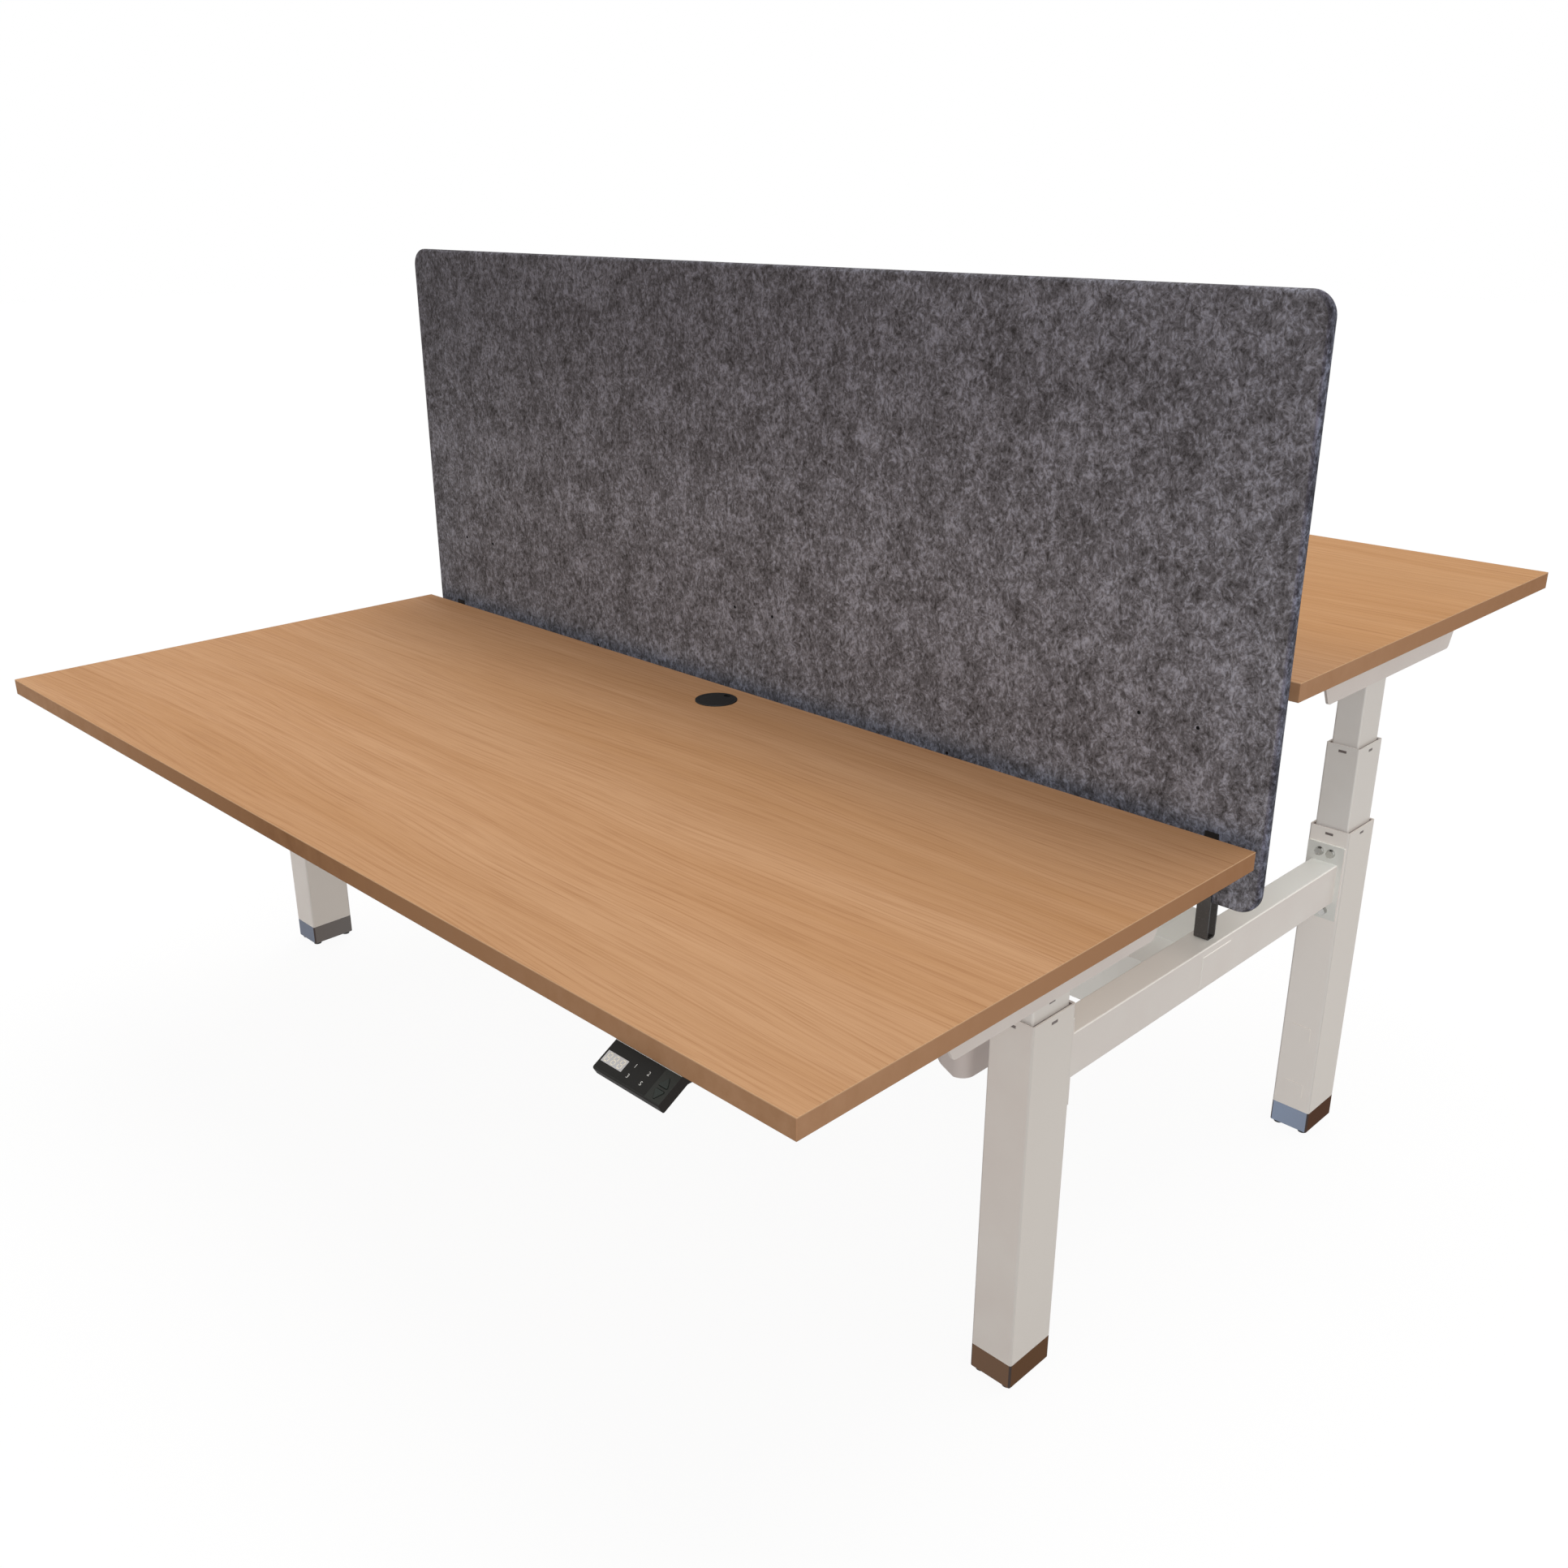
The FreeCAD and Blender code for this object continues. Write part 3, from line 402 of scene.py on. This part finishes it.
def dark_chrome():
    """Smoked chrome with faint brushing, and a painted reflection: its tint drifts from brown to
    steel blue across the feet, differs between the faces along X and Y, and is darker on the rounded
    corners.
    """
    paint = Paint("dark_chrome")
    brushed = paint.noise(paint.scaled(BRUSH_STRETCH), 1.0, 3.0)
    spot = paint.spot()
    # Painted reflection: the tint drifts from foot to foot and differs between the faces along X and
    # Y
    reflection_drift = paint.span(paint.math("SUBTRACT", spot["Y"], spot["X"]), -FOOT_SPAN, FOOT_SPAN)
    front = paint.ramp(reflection_drift, (0.0, linear(105, 82, 66)), (0.31, linear(126, 137, 156)),
                       (0.69, linear(122, 127, 140)))
    side = paint.ramp(reflection_drift, (0.0, linear(100, 73, 53)), (0.31, linear(85, 52, 31)),
                      (0.69, linear(98, 93, 90)))
    facing = paint.facing()
    colour = paint.mix(paint.size(facing["X"]), front, side)
    # Painted reflection: a darker line on the rounded corners
    turn = paint.span(paint.size(paint.math("MULTIPLY", facing["X"], facing["Y"])), 0.1, 0.3)
    paint.set(Base_Color=paint.mix(turn, colour, linear(70, 61, 58)), Metallic=1.0)
    paint.set(Roughness=paint.span(brushed, NOISE_LOW, NOISE_HIGH, 0.16, 0.26))
    return paint.set(Specular_Tint=(0.5, 0.5, 0.5, 1.0))


WARM_WHITE = linear(224, 217, 210)
WARM_SHADE = linear(220, 211, 204)

powder_coat = coat("warm_white_powder_coat", WARM_WHITE, WARM_SHADE)
# Painted light: the faces along X a little darker, and the front faces of the rear legs paler
powder_coat = faced(powder_coat, "X", FACE_START, FACE_FULL, linear(219, 212, 204))
powder_coat = faced(powder_coat, "Y", -FACE_START, -FACE_FULL, linear(236, 230, 224),
                    depth(powder_coat, 0.0, 0.2))
# Painted shade: the rounded upright corners a little darker
powder_coat = cornered(powder_coat, linear(236, 237, 238))
# Painted light: the front faces cooler, a painted highlight along the upper arris, and on the top
# painted light with a painted shadow by the screen brackets
beam_coat = coat("beam_powder_coat", WARM_WHITE, WARM_SHADE)
beam_coat = faced(beam_coat, "Y", -FACE_START, -FACE_FULL, linear(219, 219, 214))
beam_coat = faced(beam_coat, "Z", 0.1, 0.35, linear(249, 244, 237))
beam_top_light_and_shadow = beam_coat.ramp(depth(beam_coat, -0.3, 0.3), (0.08, linear(250, 244, 235)),
                          (0.36, linear(245, 241, 233)), (0.49, linear(220, 218, 211)),
                          (0.62, linear(238, 236, 229)), (0.85, linear(247, 249, 244)))
beam_coat = faced(beam_coat, "Z", 0.80, 0.97, beam_top_light_and_shadow)
tray_coat = coat("tray_powder_coat", linear(236, 236, 231), linear(230, 230, 226))
stage_coat = coat("stage_powder_coat", linear(226, 223, 219), linear(222, 218, 213))
# Painted light: the faces along X a little darker
stage_coat = faced(stage_coat, "X", FACE_START, FACE_FULL, linear(219, 213, 206))
rail_coat = coat("rail_powder_coat", linear(217, 208, 201), linear(213, 203, 196))
pale_plastic = speckled("pale_plastic", linear(197, 187, 183), linear(192, 182, 177), 0.42, 500.0)
black_plastic = speckled("black_plastic", linear(50, 49, 45), linear(45, 44, 40), 0.55, 900.0)
shell_plastic = speckled("handset_plastic", linear(45, 46, 43), linear(42, 43, 40), 0.6, 900.0)
shell_plastic = faced(shell_plastic.set(Specular_IOR_Level=DULL), "Z", 0.5, 0.2, linear(33, 29, 27))
film = speckled("handset_film", linear(27, 26, 24), linear(24, 23, 21), 0.5, 1200.0, bump=0.02)
film.set(Specular_IOR_Level=DULL)
key_plastic = speckled("key_plastic", linear(46, 50, 47), linear(43, 47, 44), 0.6, 1200.0)
key_plastic.set(Specular_IOR_Level=DULL)
liner_plastic = speckled("liner_plastic", linear(117, 108, 105), linear(110, 101, 98), 0.6)
gloss_black = speckled("gloss_black_paint", linear(44, 41, 40), linear(40, 38, 37), 0.25, 300.0,
                       bump=0.01, spread=0.04)
# Painted light: the front faces below 0.54 m paler than the gloss black
gloss_black = faced(gloss_black.set(Specular_IOR_Level=0.2), "Y", -FACE_START, -FACE_FULL,
                    linear(83, 80, 78), height(gloss_black, 0.56, 0.54))
grommet_plastic = speckled("grommet_plastic", linear(23, 23, 22), linear(20, 19, 18), 0.5, 800.0)
grommet_plastic.set(Specular_IOR_Level=0.3)
steel = speckled("zinc_plated_steel", linear(204, 204, 201), linear(180, 179, 176), 0.24, 500.0,
                 1.0, 0.02)
rubber = speckled("foot_rubber", linear(46, 46, 46), linear(39, 39, 39), 0.8)
window = speckled("display_window", linear(180, 178, 177), linear(172, 170, 170), 0.4, 300.0,
                  bump=0.01)
segment = speckled("display_segment", linear(222, 213, 192), linear(216, 208, 187), 0.4, 300.0,
                   bump=0.01)
printing = speckled("pale_print", linear(190, 189, 184), linear(182, 181, 177), 0.6, 900.0)
# Painted highlight: a pale strip along the upper edge of the handset face
highlight_paint = speckled("painted_edge_highlight", linear(219, 215, 212), linear(208, 204, 201), 0.4)
beech_paint = beech()
felt_paint = felt()
chrome_paint = dark_chrome()

PAINT_OF_NODE = {
    "foot_caps": chrome_paint, "foot_pads": rubber, "outer_glides": liner_plastic,
    "lower_nut_tubes": steel, "frame_bolts": steel, "cable_tray": tray_coat,
    "screen_panel": felt_paint, "screen_brackets": gloss_black, "screen_bolts": gloss_black,
    "side_beam": beam_coat, "outer_column": powder_coat, "mid_stage": stage_coat,
    "inner_stage": stage_coat, "hollow_spindle": steel, "drive_spindle": steel,
    "mid_glides": liner_plastic, "desktop": beech_paint, "side_rails": rail_coat,
    "crossbars": powder_coat, "gearboxes": powder_coat, "motor_housing": pale_plastic,
    "drive_shaft": steel, "desk_screws": steel, "control_box": black_plastic,
    "grommet_sleeve": grommet_plastic, "grommet_cap": grommet_plastic, "handset": shell_plastic,
    "up_key": key_plastic, "down_key": key_plastic,
}


def dress(node, paint):
    """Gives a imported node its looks."""
    if node.material_slots:
        for place in node.material_slots:
            place.material = paint.material
    else:
        node.data.materials.append(paint.material)


for name, node in nodes.items():
    stem = max((key for key in PAINT_OF_NODE if name.startswith(key)), key=len)
    dress(node, PAINT_OF_NODE[stem])


# Small printed pieces on the handsets

def mesh_piece(name, points, faces, paint, body, slot):
    mesh = bpy.data.meshes.new(name)
    mesh.from_pydata(points, [], faces)
    mesh.update()
    piece = bpy.data.objects.new(name, mesh)
    bpy.context.scene.collection.objects.link(piece)
    mesh.materials.append(paint.material)
    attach(piece, body)
    return piece


def plate(outline, low, high):
    """Points and faces of a flat plate: an outline of (x, y) corners, given a thickness."""
    count = len(outline)
    points = [(x, y, low) for x, y in outline] + [(x, y, high) for x, y in outline]
    faces = [tuple(range(count - 1, -1, -1)), tuple(range(count, 2 * count))]
    for i in range(count):
        j = (i + 1) % count
        faces.append((i, j, count + j, count + i))
    return points, faces


def joined(*parts):
    """Several lists of points and faces as one."""
    points = []
    faces = []
    for more_points, more_faces in parts:
        start = len(points)
        points += more_points
        faces += [tuple(start + i for i in face) for face in more_faces]
    return points, faces


def rectangle(left, right, low, high):
    return [(left, low), (right, low), (right, high), (left, high)]


def placed(turn, part):
    points, faces = part
    return [tuple(turn @ Vector(p)) for p in points], faces


def handset_place(row):
    """Where the handset face's upper edge is: X along the face, Y up the slope, Z out of the face."""
    low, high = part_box("handset_" + row)
    desk_low, desk_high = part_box("desktop_" + row)
    middle = (low[0] + high[0]) / 2
    edge = desk_low[1] if row == "front" else desk_high[1]
    facing = Matrix.Rotation(0 if row == "front" else math.pi, 4, "Z")
    tilt = Matrix.Rotation(math.radians(HANDSET_TILT), 4, "X")
    return Matrix.Translation((middle, edge, desk_low[2])) @ facing @ tilt


def seven_segments(x, y):
    """One figure eight of seven strokes, leaning to the right, about its middle."""
    half_w = SEGMENT_WIDTH / 2
    half_h = SEGMENT_HEIGHT / 2
    stroke = SEGMENT_STROKE / 2
    bars = []
    for level in (-half_h, 0, half_h):
        inner = half_w - stroke - SEGMENT_GAP
        bars.append(rectangle(-inner, inner, level - stroke, level + stroke))
    for side in (-half_w, half_w):
        for low in (-half_h, 0):
            foot = low + stroke + SEGMENT_GAP
            head = low + half_h - stroke - SEGMENT_GAP
            bars.append(rectangle(side - stroke, side + stroke, foot, head))
    return [[(x + px + SEGMENT_SLANT * py, y + py) for px, py in bar] for bar in bars]


def dress_handset(row):
    turn = handset_place(row)
    body = row + "_desk"
    low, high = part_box("handset_" + row)
    half = (high[0] - low[0]) / 2 - FILM_MARGIN
    strips = [rectangle(-half, FILM_RIGHT, WINDOW_TOP, -FILM_MARGIN),
              rectangle(-half, FILM_RIGHT, -FILM_LENGTH, WINDOW_BOTTOM),
              rectangle(-half, WINDOW_LEFT, WINDOW_BOTTOM, WINDOW_TOP),
              rectangle(WINDOW_RIGHT, FILM_RIGHT, WINDOW_BOTTOM, WINDOW_TOP)]
    sheet = joined(*[plate(strip, 0, FILM_RISE) for strip in strips])
    mesh_piece("handset_film_" + row, *placed(turn, sheet), film, body, "black_plastic")
    opening = rectangle(WINDOW_LEFT, WINDOW_RIGHT, WINDOW_BOTTOM, WINDOW_TOP)
    pane = plate(opening, 0, FILM_RISE)
    mesh_piece("display_window_" + row, *placed(turn, pane), window, body, "black_plastic")
    middle = (WINDOW_LEFT + WINDOW_RIGHT) / 2
    level = (WINDOW_BOTTOM + WINDOW_TOP) / 2
    bars = [bar for i in (-1, 0, 1) for bar in seven_segments(middle + i * SEGMENT_PITCH, level)]
    figures = joined(*[plate(bar, FILM_RISE, FILM_RISE + PRINT_RISE) for bar in bars])
    mesh_piece("display_figures_" + row, *placed(turn, figures), segment, body, "black_plastic")
    reach = half + FILM_MARGIN
    # Painted highlight: a pale strip along the face's upper edge
    highlight_strip = plate(rectangle(-reach, reach, -HIGHLIGHT_HEIGHT, 0), 0, HIGHLIGHT_HEIGHT)
    mesh_piece("handset_edge_highlight_" + row, *placed(turn, highlight_strip), highlight_paint, body, "black_plastic")
    for number, (figure, (x, down)) in enumerate(PRINT_PLACES.items(), 1):
        print_figure("memory_mark_%d_%s" % (number, row), figure, x * MM, -down * MM, turn, body)


def print_figure(name, figure, x, y, turn, body):
    """A single printed figure on the film, as a thin mesh."""
    curve = bpy.data.curves.new(name, "FONT")
    curve.body = figure
    curve.size = PRINT_HEIGHT
    curve.align_x = "CENTER"
    curve.align_y = "CENTER"
    curve.extrude = PRINT_RISE / 2
    curve.resolution_u = PRINT_CURVE_STEPS
    text = bpy.data.objects.new(name + "_text", curve)
    bpy.context.scene.collection.objects.link(text)
    bpy.context.view_layer.update()
    made = text.evaluated_get(bpy.context.evaluated_depsgraph_get())
    mesh = bpy.data.meshes.new_from_object(made)
    bpy.data.objects.remove(text)
    mesh.transform(turn @ Matrix.Translation((x, y, FILM_RISE + PRINT_RISE / 2)))
    mesh.materials.clear()
    mesh.materials.append(printing.material)
    piece = bpy.data.objects.new(name, mesh)
    bpy.context.scene.collection.objects.link(piece)
    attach(piece, body)


for row in ROWS:
    dress_handset(row)


# Floor, light and camera

def make_floor():
    half = FLOOR_SIZE / 2
    mesh = bpy.data.meshes.new("floor")
    corners = [(x, y, 0) for x, y in rectangle(-half, half, -half, half)]
    mesh.from_pydata(corners, [], [(0, 1, 2, 3)])
    floor = bpy.data.objects.new("floor", mesh)
    bpy.context.scene.collection.objects.link(floor)
    paint = Paint("pale_floor")
    paint.set(Base_Color=FLOOR_GREY, Roughness=FLOOR_ROUGHNESS, Specular_IOR_Level=FLOOR_SPECULAR)
    tree = paint.tree
    rays = paint.add("ShaderNodeLightPath").outputs
    shaded = paint.add("ShaderNodeBsdfDiffuse", {"Color": FLOOR_PALE})
    glow = paint.add("ShaderNodeEmission", {"Color": WHITE, "Strength": 1.0})
    white = paint.add("ShaderNodeMixShader", {0: FLOOR_GLOW})
    seen = paint.math("MAXIMUM", rays["Is Camera Ray"], rays["Is Glossy Ray"])
    mixed = paint.add("ShaderNodeMixShader", {0: seen})
    tree.links.new(shaded.outputs["BSDF"], white.inputs[1])
    tree.links.new(glow.outputs["Emission"], white.inputs[2])
    tree.links.new(paint.shader.outputs["BSDF"], mixed.inputs[1])
    tree.links.new(white.outputs["Shader"], mixed.inputs[2])
    tree.links.new(mixed.outputs["Shader"], tree.nodes["Material Output"].inputs["Surface"])
    mesh.materials.append(paint.material)


def make_world():
    world = bpy.data.worlds.new("studio")
    bpy.context.scene.world = world
    world.use_nodes = True
    tree = world.node_tree
    light = tree.nodes["Background"]
    light.inputs["Color"].default_value = WORLD_TINT
    light.inputs["Strength"].default_value = WORLD_STRENGTH
    white = tree.nodes.new("ShaderNodeBackground")
    white.inputs["Color"].default_value = WHITE
    white.inputs["Strength"].default_value = 1.0
    rays = tree.nodes.new("ShaderNodeLightPath")
    seen = tree.nodes.new("ShaderNodeMath")
    seen.operation = "MAXIMUM"
    mixed = tree.nodes.new("ShaderNodeMixShader")
    tree.links.new(rays.outputs["Is Camera Ray"], seen.inputs[0])
    tree.links.new(rays.outputs["Is Glossy Ray"], seen.inputs[1])
    tree.links.new(seen.outputs[0], mixed.inputs[0])
    tree.links.new(light.outputs[0], mixed.inputs[1])
    tree.links.new(white.outputs[0], mixed.inputs[2])
    tree.links.new(mixed.outputs[0], tree.nodes["World Output"].inputs["Surface"])


def make_sun(name, strength, spread, origin, shadow):
    lamp = bpy.data.lights.new(name, "SUN")
    lamp.energy = strength
    lamp.angle = math.radians(spread)
    lamp.use_shadow = shadow
    sun = bpy.data.objects.new(name, lamp)
    sun.rotation_euler = Vector(origin).to_track_quat("Z", "Y").to_euler()
    bpy.context.scene.collection.objects.link(sun)


def make_camera():
    lens = bpy.data.cameras.new("camera")
    lens.lens = CAMERA_LENS
    lens.sensor_width = CAMERA_SENSOR
    lens.sensor_fit = "HORIZONTAL"
    lens.clip_end = CAMERA_REACH
    camera = bpy.data.objects.new("camera", lens)
    camera.location = CAMERA_PLACE
    camera.rotation_euler = [math.radians(a) for a in CAMERA_TURN]
    bpy.context.scene.collection.objects.link(camera)
    bpy.context.scene.camera = camera


make_floor()
make_world()
make_sun("key", KEY_STRENGTH, SUN_SPREAD, KEY_FROM, True)
make_sun("fill", FILL_STRENGTH, SUN_SPREAD, FILL_FROM, False)
make_camera()
bpy.context.scene.view_settings.view_transform = "Standard"
